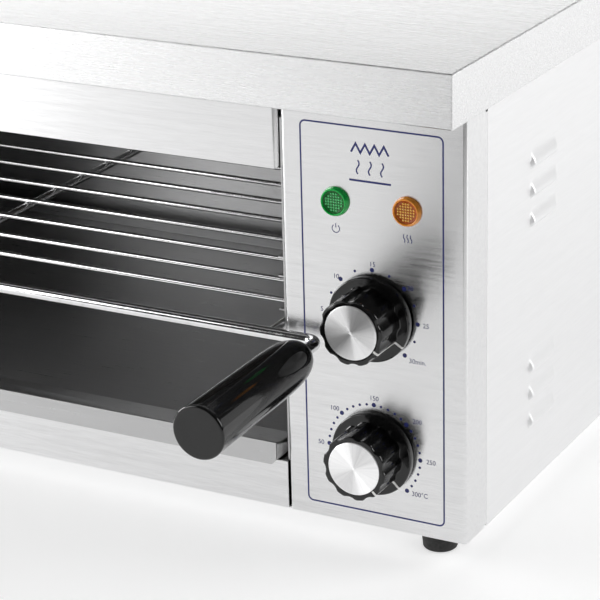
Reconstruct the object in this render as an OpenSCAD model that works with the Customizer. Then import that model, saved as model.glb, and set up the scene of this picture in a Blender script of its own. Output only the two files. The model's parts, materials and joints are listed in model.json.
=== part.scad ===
// Electric salamander grill: a counter-top grill with an open front, elements under the roof,
// a sliding wire rack with two handles, a crumb tray and a control box on the right.
// The front faces -Y and +Z is up. The origin is on the ground, below the middle of the whole grill.

/* [Casing] */
// Width over the side panels
body_w = 635; // [620:5:680]
// Depth from the front plane to the rear panel
body_d = 330; // [330:5:370]
// Height from the casing's bottom edge to the cap
body_h = 235; // [232:1:250]
// Thickness of the steel sheets
sheet = 1; // [0.8:0.1:1.2]
// Width of the column on the left of the opening
column_w = 35; // [30:1:45]
// Height of the rubber feet
foot_h = 16; // [14:1:24]
// Radius of the rubber feet
foot_r = 11; // [9:0.5:13]
// Distance of the feet's axes from the casing's sides
foot_side_in = 26; // [20:1:40]
// Distance of the feet's axes from the casing's front and rear
foot_end_in = 23; // [20:1:40]

/* [Cap] */
// Height of the folded cap
cap_h = 29; // [22:1:36]
// How far the cap stands out over the front
cap_front = 19; // [12:1:22]
// How far the cap stands out over the sides and the rear
cap_side = 1; // [1:0.5:2]

/* [Cooking space] */
// Height of the hood above the opening
hood_h = 39; // [34:1:42]
// Height of the rail below the opening
rail_h = 28.4; // [24:0.2:28.4]
// Depth of the cavity from the front plane
cavity_d = 318; // [312:1:322]
// Height of the roof plate over the casing's bottom edge
roof_z = 224; // [220:1:228]
// Height of the heating elements over the casing's bottom edge
element_z = 208; // [205:1:212]
// Radius of the heating elements' tube
element_r = 4; // [3:0.25:4.5]

/* [Control box] */
// Width of the control box
box_w = 107; // [100:1:115]
// How far the control panel wraps round to the side
wrap = 26.5; // [20:0.5:35]
// Distance of the knobs' axes from the right side
knob_in = 54.1; // [50:0.1:58]
// Height of the timer knob's axis over the casing's bottom edge
timer_z = 121.6; // [115:0.1:126]
// Height of the thermostat knob's axis over the casing's bottom edge
thermostat_z = 44.2; // [40:0.1:50]
// Height of the pilot lamps over the casing's bottom edge
lamp_z = 183; // [176:1:190]
// Distance of each pilot lamp from the knobs' axes
lamp_off = 20.8; // [16:0.1:24]

/* [Knobs] */
// Radius of the knob's skirt
skirt_r = 23.5; // [22:0.5:25]
// Radius of the knob's grip
grip_r = 18.4; // [17:0.1:20]
// Height of the knob's front face over the control panel
knob_h = 25.2; // [22:0.2:30]
// Radius of the metal disc in the knob's face
disc_r = 15; // [12:0.5:16]
// Number of flutes round the grip
flutes = 10; // [8:1:12]
// Direction of the timer's pointer in this pose, clockwise from the top
timer_angle = 122; // [-135:1:135]
// Direction of the thermostat's pointer in this pose, clockwise from the top
thermostat_angle = 135; // [-135:1:135]
// How much further out than its nominal place the timer's knob sits on its shaft
timer_lift = 0.6; // [-0.4:0.1:1]
// How much further out than its nominal place the thermostat's knob sits on its shaft
thermostat_lift = -0.4; // [-0.4:0.1:1]

/* [Rack] */
// Radius of the front rod
rod_r = 3.5; // [2.8:0.1:3.8]
// Radius of the rack's frame rods
frame_r = 2.5; // [2:0.1:2.8]
// Radius of the thin wires
wire_r = 1.6; // [1.2:0.1:1.8]
// Number of thin wires
wires = 9; // [5:1:9]
// Distance from the front plane to the first thin wire
first_wire = 30.4; // [26:0.1:31]
// Distance between the first two thin wires
first_gap = 28.3; // [26:0.1:30.7]
// Distance between the other thin wires
wire_pitch = 30.7; // [26:0.1:30.7]
// Height of the rack's frame over the casing's bottom edge
rack_z = 106.3; // [100:0.1:110]
// Distance of the front rod from the front plane
rod_out = 9; // [8:0.5:12]
// Largest radius of the handles
handle_r = 14.6; // [12:0.1:15]
// Length of the handles
handle_l = 110; // [90:0.5:120]
// Distance of the right handle's axis from the right side
handle_in = 82.3; // [80:0.1:90]
// Angle by which the handles droop
droop = 1.3; // [0:0.1:4]

/* [Crumb tray] */
// Height of the tray's side walls
tray_h = 9.8; // [8:0.2:12]
// How far the tray's lip stands out over the front plane
lip_out = 4.6; // [3:0.1:6]

/* [Hidden] */
$fn = 64;

// rack and handle places, measured from the front plane
bend_r = 6;
handle_gap = 10.5;
handle_edge = 1.2;
handle_end = handle_gap + handle_l;
front_reach = rod_out + bend_r + handle_end * cos(droop) + (handle_r - handle_edge) * sin(droop);

// cable gland behind the rear panel
gland_reach = 14;
gland_bore_r = 4;
gland_in = [62, 36];

// the casing's planes in the grill's own frame
front = front_reach - (front_reach + body_d + gland_reach) / 2;
rear = front + body_d;
right = body_w / 2;
left = -right;
bottom = foot_h;
top = bottom + body_h;
box_x = right - box_w;
column_x = left + column_w;
middle = (box_x + column_x) / 2;
wall_l = column_x + sheet;
wall_r = box_x - sheet;
back = front + cavity_d;
joint_gap = 0.5;
rail_flange = 14;

// heating elements: y of each leg from the front plane, in pairs
legs = [[50, 95], [140, 185], [230, 275]];
element_in = 50;
bracket_x = [middle - 160, middle + 160];

// rack frame
rack_half = 241.5;
rack_front = front - rod_out;
rack_rear = front + 290;
weld = 0.3;
frame_z = bottom + rack_z;
wire_z = frame_z + frame_r + wire_r - weld;
handle_half = right - handle_in - middle;
handle_y = rack_front - bend_r;

// rack guides: three levels, the rack rides on the middle one
guide_pitch = 30;
guide_slot = 9.8;
guide_w = 5.5;
guide_gap = 0.3;
guide_y = [front + 8, front + 305];

// crumb tray, heights over the casing's bottom edge
tray_half = 241.5;
tray_floor = rail_h + 0.3;
tray_rear = 305;
apron_d = 33;
lip_z = [27, 40.3];
lip_chamfer = 3;

// controls
knob_x = right - knob_in;
shaft_r = 3;
shaft_gap = 0.06;
skirt_gap = 0.8;
skirt_t = 4.2;
screw_off = 14;
screw_r = 2;
screw_head_r = 3.6;
lamp_hole_r = 6.4;
lamp_r = 8;

// ventilation louvres: height of each row, place and size
louvre_rows = [191, 174.5, 158, 72.5, 56.6, 40.2];
louvre_y = [83, 118];
louvre_out = 4;
louvre_half = 5;
louvre_r = (louvre_half * louvre_half + louvre_out * louvre_out) / (2 * louvre_out);
louvre_mouth = 1.5;

// vent slots of the base and the rear: number and width
slots = 6;
slot_w = 4;
function slot_at(start, pitch, i) = [start + pitch * i, start + pitch * i + slot_w];

feet = [for (y = [front + foot_end_in, rear - foot_end_in])
        for (x = [left + foot_side_in, right - foot_side_in]) [x, y]];
rear_screws = [for (x = [left + 20, middle, right - 20]) for (z = [bottom + 12, top - 12]) [x, z]];

// a block between two values on each axis
module span(x, y, z) {
  translate([x[0], y[0], z[0]]) cube([x[1] - x[0], y[1] - y[0], z[1] - z[0]]);
}

// round bars along an axis; the last argument is the radius
module bar_x(x, y, z, r) {
  translate([x[0], y, z]) rotate([0, 90, 0]) cylinder(h = x[1] - x[0], r = r);
}
module bar_y(x, y, z, r) {
  translate([x, y[0], z]) rotate([-90, 0, 0]) cylinder(h = y[1] - y[0], r = r);
}
module bar_z(x, y, z, r) {
  translate([x, y, z[0]]) cylinder(h = z[1] - z[0], r = r);
}

// a round tube through a list of points
module tube_path(points, r) {
  for (i = [0 : len(points) - 2]) {
    step = points[i + 1] - points[i];
    translate(points[i])
      rotate([0, acos(step[2] / norm(step)), atan2(step[1], step[0])])
        cylinder(h = norm(step), r = r);
  }
  for (i = [1 : len(points) - 2]) translate(points[i]) sphere(1.05 * r);
}

// the mirror image on the other side of the rack's middle
module other_side() {
  translate([2 * middle, 0, 0]) mirror([1, 0, 0]) children();
}

// plan of a sheet folded back at both front corners, with bend radius r
module folded_front(w, d, r) {
  module block_2d(w, d, r) {
    translate([r, 0]) square([w - 2 * r, d]);
    translate([0, r]) square([w, d - r]);
    for (x = [r, w - r]) translate([x, r]) circle(r);
  }
  difference() {
    block_2d(w, d, r);
    translate([sheet, sheet]) block_2d(w - 2 * sheet, d, r - sheet);
  }
}

module base_pan() {
  inside = [left + sheet, right - sheet];
  color("gainsboro") difference() {
    union() {
      span(inside, [front + sheet, rear - sheet], [bottom, bottom + sheet]);
      for (x = [inside[0], inside[1] - sheet])
        span([x, x + sheet], [front + wrap + 15, rear - 15], [bottom, bottom + 14]);
    }
    for (f = feet) bar_z(f[0], f[1], [bottom - 1, bottom + sheet + 1], screw_r + 0.2);
    for (i = [0 : slots - 1])
      span([box_x + 25, right - 25], slot_at(front + 150, 14, i), [bottom - 1, bottom + sheet + 1]);
  }
}

module front_rail() {
  rail_x = [column_x + joint_gap, box_x - joint_gap];
  color("whitesmoke") {
    span(rail_x, [front, front + sheet], [bottom, bottom + rail_h]);
    span(rail_x, [front, front + rail_flange], [bottom + rail_h - sheet, bottom + rail_h]);
    span(rail_x, [front, front + 12], [bottom + sheet, bottom + 2 * sheet]);
  }
}

module top_cover() {
  outer_x = [left - cap_side, right + cap_side];
  outer_y = [front - cap_front, rear + cap_side];
  lip = 12;
  color("whitesmoke") difference() {
    span(outer_x, outer_y, [top, top + cap_h]);
    span([outer_x[0] + sheet, outer_x[1] - sheet], [outer_y[0] + sheet, outer_y[1] - sheet],
         [top + sheet, top + cap_h - sheet]);
    span([left + lip, right - lip], [front + lip, rear - lip], [top - 1, top + 2 * sheet]);
  }
}

module hood_front() {
  hood_x = wall_l + joint_gap;
  hood_w = wall_r - joint_gap - hood_x;
  hood_z = top - hood_h;
  corner = 3;
  color("whitesmoke") intersection() {
    translate([hood_x, front, hood_z]) {
      linear_extrude(hood_h) folded_front(hood_w, 12, corner);
      translate([corner, 0, 0]) cube([hood_w - 2 * corner, 12, sheet]);
    }
    union() {
      span([hood_x, hood_x + hood_w], [front - 1, front + 20], [hood_z + corner, top]);
      span([hood_x + corner, hood_x + hood_w - corner], [front - 1, front + 20],
           [hood_z, top]);
      for (x = [hood_x + corner, hood_x + hood_w - corner])
        bar_y(x, [front - 1, front + 20], hood_z + corner, corner);
    }
  }
}

module control_panel() {
  panel_x = box_x + 0.4;
  notch = 1.5;
  color("whitesmoke") difference() {
    union() {
      translate([panel_x, front, bottom])
        linear_extrude(body_h) folded_front(right - panel_x, wrap - joint_gap, 2);
      span([panel_x + 2, right - 2], [front + sheet / 2, front + 14],
           [bottom + sheet, bottom + 2 * sheet]);
    }
    for (z = [timer_z, thermostat_z]) {
      bar_y(knob_x, [front - 1, front + 2], bottom + z, shaft_r + 0.6);
      for (s = [-1, 1])
        bar_y(knob_x + s * screw_off, [front - 1, front + 2], bottom + z, screw_r + 0.2);
    }
    for (s = [-1, 1])
      bar_y(knob_x + s * lamp_off, [front - 1, front + 2], bottom + lamp_z, lamp_hole_r);
    for (z = [bottom, top - notch])
      span([right - 2 * sheet, right + 1], [front + wrap - 3, front + wrap], [z, z + notch]);
    span([panel_x - 1, right - sheet], [front + sheet, front + wrap], [bottom - 1, bottom + sheet]);
  }
}

// solid shape of one louvre on the right side, shrunk by the given amount: a shallow round
// ridge along Y, cut to an outline with round ends
module louvre_ridge(z, shrink) {
  half = louvre_half + 0.6 - shrink;
  x = [right - 2 * sheet, right + 5];
  ends = [front + louvre_y[0] + louvre_half, front + louvre_y[1] - louvre_half];
  intersection() {
    bar_y(right + louvre_out - louvre_r, [ends[0] - 8, ends[1] + 8], bottom + z,
          louvre_r - shrink);
    translate([x[0], 0, bottom + z]) rotate([90, 0, 90]) linear_extrude(x[1] - x[0]) {
      translate([ends[0], -half]) square([ends[1] - ends[0], 2 * half]);
      for (y = ends) translate([y, 0]) circle(half);
    }
  }
}

// one side sheet with its pressed louvres, as it is on the right
module louvred_side(y) {
  difference() {
    span([right - sheet, right], y, [bottom, top]);
    for (z = louvre_rows) louvre_ridge(z, sheet);
  }
  for (z = louvre_rows) difference() {
    intersection() {
      louvre_ridge(z, 0);
      span([right - sheet / 2, right + 5], y, [bottom + z - louvre_mouth, bottom + z + 8]);
    }
    louvre_ridge(z, sheet);
  }
}

module right_side_cover() {
  start = front + wrap + 0.1;
  color("white") {
    louvred_side([start, rear - sheet]);
    span([right - 12, right - sheet / 2], [rear - 2 * sheet, rear - sheet],
         [bottom + 2, top - 2]);
    span([right - 2 * sheet, right - sheet], [start - 8, start + 6], [bottom + 4, top - 4]);
  }
}

module left_side_panel() {
  color("white") {
    mirror([1, 0, 0]) louvred_side([front + 4, rear - sheet]);
    difference() {
      translate([left, front, bottom])
        linear_extrude(body_h) folded_front(column_w, 20, 2);
      span([left - 1, left + 2], [front + 10, front + 21], [bottom - 1, top + 1]);
      span([left + sheet, column_x + 1], [front + sheet, front + 21], [bottom - 1, bottom + sheet]);
    }
    span([left + sheet / 2, left + 12], [rear - 2 * sheet, rear - sheet],
         [bottom + 2, top - 2]);
  }
}

module rear_panel() {
  color("gainsboro") difference() {
    span([left, right], [rear - sheet, rear], [bottom, top]);
    bar_y(right - gland_in[0], [rear - 5, rear + 5], bottom + gland_in[1], 8.2);
    for (s = rear_screws) bar_y(s[0], [rear - 5, rear + 5], s[1], screw_r + 0.2);
    for (x = [right - 90, middle - 60]) for (i = [0 : slots - 1])
      span([x, x + 60], [rear - 5, rear + 5], slot_at(top - 85, 9, i));
  }
}

module cavity_floor() {
  color("dimgray")
    span([column_x, box_x], [front + rail_flange + 0.1, back + sheet],
         [bottom + rail_h - sheet, bottom + rail_h]);
}

module cavity_left_wall() {
  color("gray")
    span([column_x, wall_l], [front + 2, back], [bottom + rail_h, bottom + roof_z]);
}

module cavity_right_wall() {
  color("gray") difference() {
    span([wall_r, box_x], [front + 2, back], [bottom + rail_h, bottom + roof_z]);
    for (pair = legs) for (y = pair)
      bar_x([wall_r - 1, box_x + 1], front + y, bottom + element_z, element_r + 0.2);
    bar_x([wall_r - 1, box_x + 1], front + 306, bottom + 198, 2);
  }
}

module cavity_back_wall() {
  color("gray")
    span([column_x, box_x], [back, back + sheet], [bottom + rail_h, bottom + roof_z]);
}

module roof_plate() {
  color("silver") {
    span([column_x, box_x], [front + 13, back + sheet],
         [bottom + roof_z, bottom + roof_z + sheet]);
    span([column_x + 4, box_x - 4], [front + 13, front + 13 + sheet],
         [top - hood_h, bottom + roof_z + sheet]);
  }
}

// ladder of three U-shaped guides on the right wall
module rack_guide() {
  shelf_x = [wall_r - sheet - guide_w, wall_r - sheet];
  middle_z = frame_z - frame_r - guide_gap;
  color("silver") {
    span([wall_r - sheet, wall_r], guide_y,
         [middle_z - guide_pitch - 6, middle_z + guide_pitch + guide_slot + 6]);
    for (k = [-1 : 1]) {
      z = middle_z + k * guide_pitch;
      span(shelf_x, guide_y, [z - sheet, z]);
      span(shelf_x, guide_y, [z + guide_slot, z + guide_slot + sheet]);
    }
  }
}
module rack_guide_right() { rack_guide(); }
module rack_guide_left() { other_side() rack_guide(); }

// one U-shaped tubular element with its terminal studs in the control box
module element(pair) {
  bend = (pair[1] - pair[0]) / 2;
  x = column_x + element_in;
  z = bottom + element_z;
  color([0.28, 0.27, 0.26]) {
    translate([x, front + pair[0] + bend, z])
      rotate([0, 0, 90]) rotate_extrude(angle = 180) translate([bend, 0]) circle(element_r);
    for (y = pair) bar_x([x, box_x + 18], front + y, z, element_r);
  }
  color("silver")
    for (y = pair) bar_x([box_x + 17, box_x + 28], front + y, z, 2);
}
module element_front() { element(legs[0]); }
module element_middle() { element(legs[1]); }
module element_rear() { element(legs[2]); }

// a strip that hangs from the roof and holds the six legs
module element_bracket(x) {
  color("silver") difference() {
    union() {
      span([x, x + 1.2], [front + 38, front + 287], [bottom + element_z - 8, bottom + roof_z]);
      span([x, x + 12], [front + 38, front + 287], [bottom + roof_z - 1.2, bottom + roof_z]);
    }
    for (pair = legs) for (y = pair)
      bar_x([x - 1, x + 3], front + y, bottom + element_z, element_r + 0.2);
  }
}
module element_bracket_left() { element_bracket(bracket_x[0]); }
module element_bracket_right() { element_bracket(bracket_x[1]); }

module element_nuts() {
  color("goldenrod") for (pair = legs) for (y = pair)
    translate([box_x, front + y, bottom + element_z]) rotate([0, 90, 0]) difference() {
      cylinder(h = 5, r = 7.5, $fn = 6);
      translate([0, 0, -1]) cylinder(h = 7, r = element_r + 0.1);
    }
}

// body of a rotary control behind the panel, with a bushing for the shaft
module control_body(z, w, d, h) {
  y = front + sheet;
  mid_z = bottom + z;
  plate = [38, 3.5, 20];
  tab = [6, 8, 0.8];
  difference() {
    union() {
      span([knob_x - w / 2, knob_x + w / 2], [y + plate[1] - 0.5, y + d],
           [mid_z - h / 2, mid_z + h / 2]);
      span([knob_x - plate[0] / 2, knob_x + plate[0] / 2], [y, y + plate[1]],
           [mid_z - plate[2] / 2, mid_z + plate[2] / 2]);
      for (x = [knob_x - 2 * tab[0], knob_x, knob_x + 2 * tab[0]])
        span([x - tab[0] / 2, x + tab[0] / 2], [y + d - 1, y + d + tab[1]],
             [mid_z - 10 * tab[2], mid_z - 9 * tab[2]]);
    }
    bar_y(knob_x, [y - 1, y + d - 6], mid_z, shaft_r + shaft_gap);
    for (s = [-1, 1]) bar_y(knob_x + s * screw_off, [y - 1, y + 7], mid_z, screw_r + 0.1);
  }
}

module timer_body() { color("silver") control_body(timer_z, 46, 40, 46); }
module thermostat_body() { color("ivory") control_body(thermostat_z, 40, 34, 50); }

module thermostat_bulb() {
  z = bottom + 198;
  y = front + 306;
  outlet = front + sheet + 34;
  color("peru") {
    bar_x([box_x - 140, box_x - 40], y, z, 3);
    tube_path([[box_x - 41, y, z], [box_x + 30, y, z], [box_x + 30, y, bottom + 60],
               [knob_x, y - 20, bottom + 60], [knob_x, outlet, bottom + 60]], 1);
  }
}

module control_screws() {
  color("silver") for (z = [timer_z, thermostat_z]) for (s = [-1, 1]) {
    bar_y(knob_x + s * screw_off, [front - 1.6, front], bottom + z, screw_head_r);
    bar_y(knob_x + s * screw_off, [front - 0.5, front + 7], bottom + z, screw_r);
  }
}

module terminal_block() {
  x = box_x + 30;
  y = front + 250;
  color("ivory") difference() {
    span([x, x + 20], [y, y + 46], [bottom + sheet, bottom + sheet + 22]);
    for (i = [0 : 3])
      bar_z(x + 10, y + 7 + 10.5 * i, [bottom + 12, bottom + 30], 3);
  }
}

// hollow gland body through the rear panel, with its dome nut outside
module cable_gland() {
  x = right - gland_in[0];
  z = bottom + gland_in[1];
  color("darkslategray") translate([x, rear, z]) rotate([-90, 0, 0]) difference() {
    union() {
      translate([0, 0, -10]) cylinder(h = 12, r = 8);
      cylinder(h = 4, r = 11.5, $fn = 6);
      translate([0, 0, 4]) cylinder(h = gland_reach - 4, r1 = 10, r2 = 7.5);
    }
    translate([0, 0, -11]) cylinder(h = gland_reach + 12, r = gland_bore_r);
  }
}

module gland_nut() {
  color("dimgray") translate([right - gland_in[0], rear - sheet - 5, bottom + gland_in[1]])
    rotate([-90, 0, 0]) difference() {
      cylinder(h = 5, r = 12, $fn = 6);
      translate([0, 0, -1]) cylinder(h = 7, r = 8.1);
    }
}

// pilot lamp: a lens with a rim in front of the panel, a round body behind it
module lamp_lens(x) {
  translate([x, front, bottom + lamp_z]) rotate([90, 0, 0]) {
    rotate_extrude() polygon([[0, 0], [lamp_r, 0], [lamp_r, 1.8], [lamp_r - 0.6, 2.6],
                              [lamp_r - 1.4, 2.6], [lamp_r - 1.8, 3.4], [0, 4]]);
  }
}
module lamp_body(x) {
  bar_y(x, [front, front + 24], bottom + lamp_z, lamp_hole_r - 0.4);
  for (dx = [-2.5, 2.5])
    span([x + dx - 0.4, x + dx + 0.4], [front + 23, front + 31],
         [bottom + lamp_z - 2.4, bottom + lamp_z + 2.4]);
}
module power_lamp_lens() { color("limegreen") lamp_lens(knob_x - lamp_off); }
module power_lamp_body() { color("dimgray") lamp_body(knob_x - lamp_off); }
module heat_lamp_lens() { color("orange") lamp_lens(knob_x + lamp_off); }
module heat_lamp_body() { color("dimgray") lamp_body(knob_x + lamp_off); }

module foot(i) {
  color([0.12, 0.12, 0.12]) translate([feet[i][0], feet[i][1], 0]) difference() {
    rotate_extrude() polygon([[0, 0], [foot_r - 2.2, 0], [foot_r - 1.2, 1], [foot_r, foot_h - 3],
                              [foot_r, foot_h], [0, foot_h]]);
    translate([0, 0, foot_h - 9]) cylinder(h = 10, r = screw_r + 0.1);
  }
}
module foot_front_left() { foot(0); }
module foot_front_right() { foot(1); }
module foot_rear_left() { foot(2); }
module foot_rear_right() { foot(3); }

module foot_screws() {
  color("silver") for (f = feet) translate([f[0], f[1], foot_h]) {
    translate([0, 0, -8]) cylinder(h = 8 + sheet + 1, r = screw_r);
    translate([0, 0, sheet]) cylinder(h = 2.6, r = screw_head_r);
  }
}

module casing_screws() {
  color("silver") for (s = rear_screws) {
    bar_y(s[0], [rear - 6, rear + 0.5], s[1], screw_r);
    bar_y(s[0], [rear, rear + 2], s[1], screw_head_r);
  }
}

// front rod: straight between two tight bends, then forwards into the handles
module rack_front_rod() {
  half = handle_half - bend_r;
  color("silver") {
    bar_x([middle - half, middle + half], rack_front, frame_z, rod_r);
    for (side = [0, 1]) translate([middle, 0, 0]) mirror([side, 0, 0])
      translate([half, handle_y, frame_z]) {
        rotate_extrude(angle = 90) translate([bend_r, 0]) circle(rod_r);
        translate([bend_r, 0, 0]) {
          sphere(rod_r);
          rotate([90 + droop, 0, 0]) cylinder(h = handle_gap + 35, r = rod_r);
        }
      }
  }
}

module rack_side_rod(x) {
  color("silver") bar_y(x, [rack_front + rod_r - weld, rack_rear], frame_z, frame_r);
}
module rack_side_rod_left() { rack_side_rod(middle - rack_half); }
module rack_side_rod_right() { rack_side_rod(middle + rack_half); }

module rack_rear_rod() {
  half = rack_half - frame_r + weld;
  color("silver") bar_x([middle - half, middle + half], rack_rear - frame_r, frame_z, frame_r);
}

module rack_centre_bar() {
  color("silver")
    bar_y(middle, [rack_front + rod_r - weld, rack_rear - 2 * frame_r + weld], frame_z, frame_r);
}

// place of the thin wire number i along the rack
function wire_y(i) = front + first_wire + (i == 0 ? 0 : first_gap + (i - 1) * wire_pitch);

module rack_wires() {
  half = rack_half + 1;
  color("silver") for (i = [0 : wires - 1])
    bar_x([middle - half, middle + half], wire_y(i), wire_z, wire_r);
}

// radius of the handle at t, from 0 at the free end to 1 at the rod
function grip_radius(t) = handle_r * (1 - 0.1 * t) * sqrt(1 - pow(t, 10));

module handle(x) {
  steps = 22;
  curve = [for (i = [0 : steps]) let (t = 1 - pow(1 - i / steps, 1.6))
           [grip_radius(t), handle_end - max(t * handle_l, handle_edge)]];
  color([0.06, 0.06, 0.07])
    translate([x, handle_y, frame_z]) rotate([90 + droop, 0, 0]) difference() {
      rotate_extrude() polygon(concat([[0, handle_end], [handle_r - handle_edge, handle_end],
        [handle_r - 0.4 * handle_edge, handle_end - 0.4 * handle_edge]], curve));
      cylinder(h = handle_gap + 40, r = rod_r + 0.05);
    }
}
module handle_left() { handle(middle - handle_half); }
module handle_right() { handle(middle + handle_half); }

// pressed tray: flat floor, an apron that rises to the front lip, low side and rear walls
module crumb_tray() {
  z = bottom + tray_floor;
  wall = z + tray_h;
  lip = [for (h = lip_z) bottom + h];
  lip_back = front - lip_out + sheet;
  fold = front + apron_d;
  end = front + tray_rear;
  color("darkgray") {
    translate([middle - tray_half, 0, 0]) rotate([90, 0, 90])
      linear_extrude(2 * tray_half) polygon([
        [end, z], [fold, z], [lip_back, lip[1] - sheet], [lip_back, lip[0] + lip_chamfer],
        [lip_back - sheet, lip[0] + lip_chamfer], [lip_back - sheet, lip[1]], [lip_back, lip[1]],
        [fold, z + sheet], [end - sheet, z + sheet], [end - sheet, wall], [end, wall]]);
    for (x = [middle - tray_half, middle + tray_half - sheet])
      translate([x, 0, 0]) rotate([90, 0, 90]) linear_extrude(sheet) polygon([
        [fold, z], [end, z], [end, wall], [lip_back + 6, wall], [lip_back, lip[1]],
        [lip_back, lip[1] - sheet]]);
    translate([middle, lip_back, 0]) rotate([90, 0, 0]) linear_extrude(sheet) polygon([
      [-tray_half, lip[1]], [-tray_half, lip[0] + lip_chamfer],
      [lip_chamfer - tray_half, lip[0]], [tray_half - lip_chamfer, lip[0]],
      [tray_half, lip[0] + lip_chamfer], [tray_half, lip[1]]]);
  }
}

// outline of the pointer inlay in the plane through the knob's axis: radius, height
module pointer_plate(grow) {
  edge = [grip_r - 0.5, grip_r + 0.1, skirt_r - 0.6, skirt_r + 0.1];
  step = skirt_gap + skirt_t;
  rotate([90, 0, 0]) translate([0, 0, -0.6 - grow])
    linear_extrude(1.2 + 2 * grow) polygon([
      [disc_r + 0.3, knob_h - 0.6], [edge[0], knob_h - 0.6], [edge[0], step - 0.6],
      [edge[2], step - 0.6], [edge[2], skirt_gap], [edge[3], skirt_gap], [edge[3], step + 0.1],
      [edge[1], step + 0.1], [edge[1], knob_h + 0.1], [disc_r + 0.3, knob_h + 0.1]]);
}

// puts a part on a knob's axis: local Z leaves the panel, local X is the pointer's direction
module on_knob(z, angle, lift) {
  translate([knob_x, front - lift, bottom + z]) rotate([0, angle - 90, 0])
    rotate([90, 0, 0]) children();
}
module on_timer() { on_knob(timer_z, timer_angle, timer_lift) children(); }
module on_thermostat() { on_knob(thermostat_z, thermostat_angle, thermostat_lift) children(); }

module knob() {
  flute_r = 6.5;
  flute_depth = 1.2;
  top_z = skirt_gap + skirt_t;
  color([0.06, 0.06, 0.07]) difference() {
    union() {
      rotate_extrude() polygon([
        [0, skirt_gap], [skirt_r, skirt_gap], [skirt_r, top_z - 0.8], [skirt_r - 0.8, top_z],
        [0, top_z]]);
      translate([0, 0, top_z - 1]) linear_extrude(knob_h - top_z + 1) difference() {
        circle(grip_r);
        for (i = [0 : flutes - 1]) rotate((i + 0.5) * 360 / flutes)
          translate([grip_r + flute_r - flute_depth, 0]) circle(flute_r);
      }
    }
    translate([0, 0, -1]) cylinder(h = 4.4, r = 20.5);
    translate([0, 0, knob_h - 0.4]) cylinder(h = 1, r = disc_r);
    cylinder(h = 20, r = shaft_r + 0.02);
    pointer_plate(0);
  }
}
module knob_disc() {
  color("silver") translate([0, 0, knob_h - 0.4])
    rotate_extrude() polygon([[0, 0], [disc_r - 0.05, 0], [disc_r - 0.05, 0.4],
                              [disc_r - 0.5, 0.6], [0, 0.6]]);
}
module pointer() { color("white") pointer_plate(0); }
module shaft() {
  color("silver") difference() {
    translate([0, 0, -28]) cylinder(h = 47, r = shaft_r);
    translate([-5, 1.5, 4]) cube([10, 5, 20]);
  }
}

module timer_knob() { on_timer() knob(); }
module timer_knob_disc() { on_timer() knob_disc(); }
module timer_pointer() { on_timer() pointer(); }
module timer_shaft() { on_timer() shaft(); }
module thermostat_knob() { on_thermostat() knob(); }
module thermostat_knob_disc() { on_thermostat() knob_disc(); }
module thermostat_pointer() { on_thermostat() pointer(); }
module thermostat_shaft() { on_thermostat() shaft(); }

base_pan();
front_rail();
top_cover();
hood_front();
control_panel();
right_side_cover();
left_side_panel();
rear_panel();
cavity_floor();
cavity_left_wall();
cavity_right_wall();
cavity_back_wall();
roof_plate();
rack_guide_left();
rack_guide_right();
element_front();
element_middle();
element_rear();
element_bracket_left();
element_bracket_right();
element_nuts();
timer_body();
thermostat_body();
thermostat_bulb();
control_screws();
terminal_block();
cable_gland();
gland_nut();
power_lamp_lens();
power_lamp_body();
heat_lamp_lens();
heat_lamp_body();
foot_front_left();
foot_front_right();
foot_rear_left();
foot_rear_right();
foot_screws();
casing_screws();
rack_front_rod();
rack_side_rod_left();
rack_side_rod_right();
rack_rear_rod();
rack_centre_bar();
rack_wires();
handle_left();
handle_right();
crumb_tray();
timer_knob();
timer_knob_disc();
timer_pointer();
timer_shaft();
thermostat_knob();
thermostat_knob_disc();
thermostat_pointer();
thermostat_shaft();
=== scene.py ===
# Looks of the electric salamander grill: steel casing, cavity, rack, tray, handles and controls.
# Everything is in metres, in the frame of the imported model.
import math

import bmesh
import bpy
from mathutils import Matrix, Vector
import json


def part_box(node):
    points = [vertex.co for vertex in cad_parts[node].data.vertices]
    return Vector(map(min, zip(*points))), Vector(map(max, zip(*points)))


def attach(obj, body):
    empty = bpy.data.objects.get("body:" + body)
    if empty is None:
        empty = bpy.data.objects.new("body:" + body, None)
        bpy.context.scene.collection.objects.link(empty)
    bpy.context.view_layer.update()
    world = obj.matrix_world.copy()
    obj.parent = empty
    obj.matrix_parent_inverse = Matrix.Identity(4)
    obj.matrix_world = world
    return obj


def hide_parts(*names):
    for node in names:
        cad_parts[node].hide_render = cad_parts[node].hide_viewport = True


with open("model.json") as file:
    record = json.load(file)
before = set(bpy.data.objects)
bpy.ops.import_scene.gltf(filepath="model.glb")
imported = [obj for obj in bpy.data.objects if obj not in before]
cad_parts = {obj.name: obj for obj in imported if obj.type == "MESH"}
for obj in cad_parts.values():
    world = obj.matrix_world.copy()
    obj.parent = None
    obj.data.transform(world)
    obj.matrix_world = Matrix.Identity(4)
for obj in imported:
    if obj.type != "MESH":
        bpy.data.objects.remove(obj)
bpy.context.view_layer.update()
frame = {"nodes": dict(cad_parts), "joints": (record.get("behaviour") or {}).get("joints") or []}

MM = 0.001
NODES = frame["nodes"]
JOINTS = {joint["name"]: joint for joint in frame["joints"]}
PANEL_LOW, PANEL_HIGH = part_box("control_panel")
FRONT = PANEL_LOW.y
TIMER = Vector(JOINTS["timer_turn"]["pos_m"])
THERMOSTAT = Vector(JOINTS["thermostat_turn"]["pos_m"])


# ---------------------------------------------------------------- camera and light
VIEW_AZIMUTH = 28.51
VIEW_ELEVATION = 20.51
VIEW_ROLL = -1.42
CAMERA_FROM_CORNER = Vector((0.4862, -1.0742, 0.5818))
LENS = 146.8
SENSOR = 36

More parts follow.
